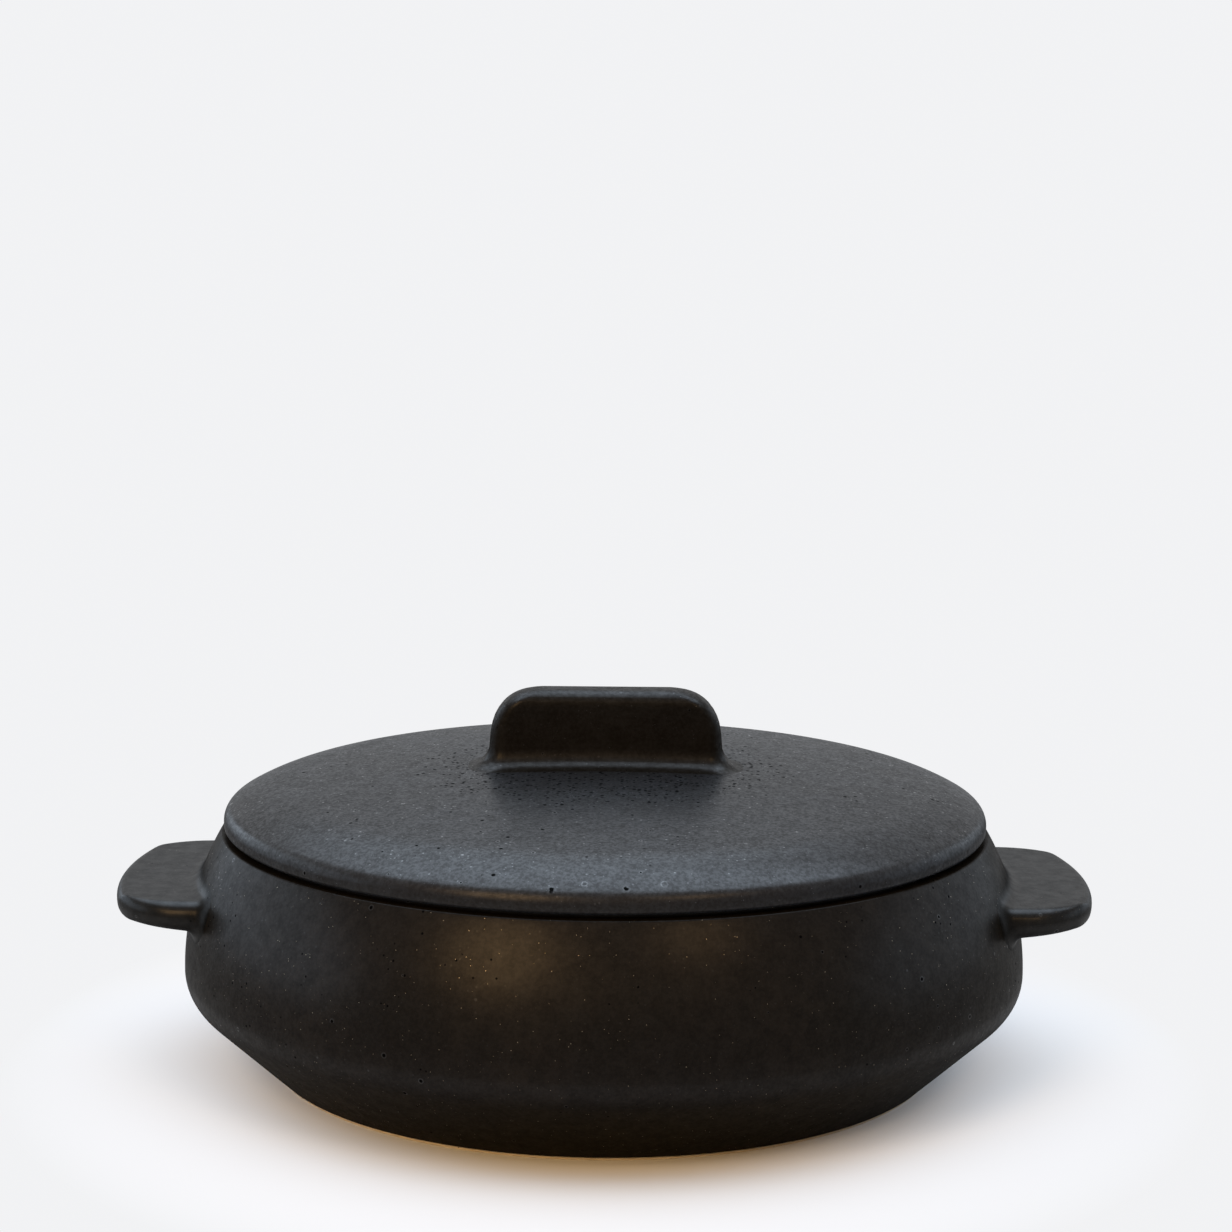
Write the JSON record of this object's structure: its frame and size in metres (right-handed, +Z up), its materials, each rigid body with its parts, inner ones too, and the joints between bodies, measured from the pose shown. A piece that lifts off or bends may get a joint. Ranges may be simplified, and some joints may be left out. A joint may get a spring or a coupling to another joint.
{
  "type": "stoneware casserole",
  "caption": "Low, wide stoneware casserole with a dark bronze-black glaze, flat lug handles and a domed lid lifted by an upright tab.",
  "frame": {"origin": "middle of the foot's sole, on the surface that the pot stands on", "axes": "+Z up, +X towards the right lug handle, -Y towards the viewer of the picture"},
  "size_m": [0.301, 0.26, 0.1161],
  "materials": {
    "wall_glaze": "satin bronze-black glaze",
    "lid_glaze": "satin blue-black glaze",
    "bare_clay": "unglazed fired stoneware"
  },
  "bodies": {
    "pot": {"bowl": "wall_glaze", "foot_ring": "bare_clay", "left_lug_handle": "wall_glaze", "right_lug_handle": "wall_glaze"},
    "lid": {"lid_cover": "lid_glaze", "lid_locating_ring": "lid_glaze", "lid_tab_handle": "lid_glaze"}
  },
  "joints": [
    {"name": "lid_lift", "type": "slide", "parent": "pot", "child": "lid", "axis": [0, 0, 1], "range_m": [0, 0.15]}
  ]
}
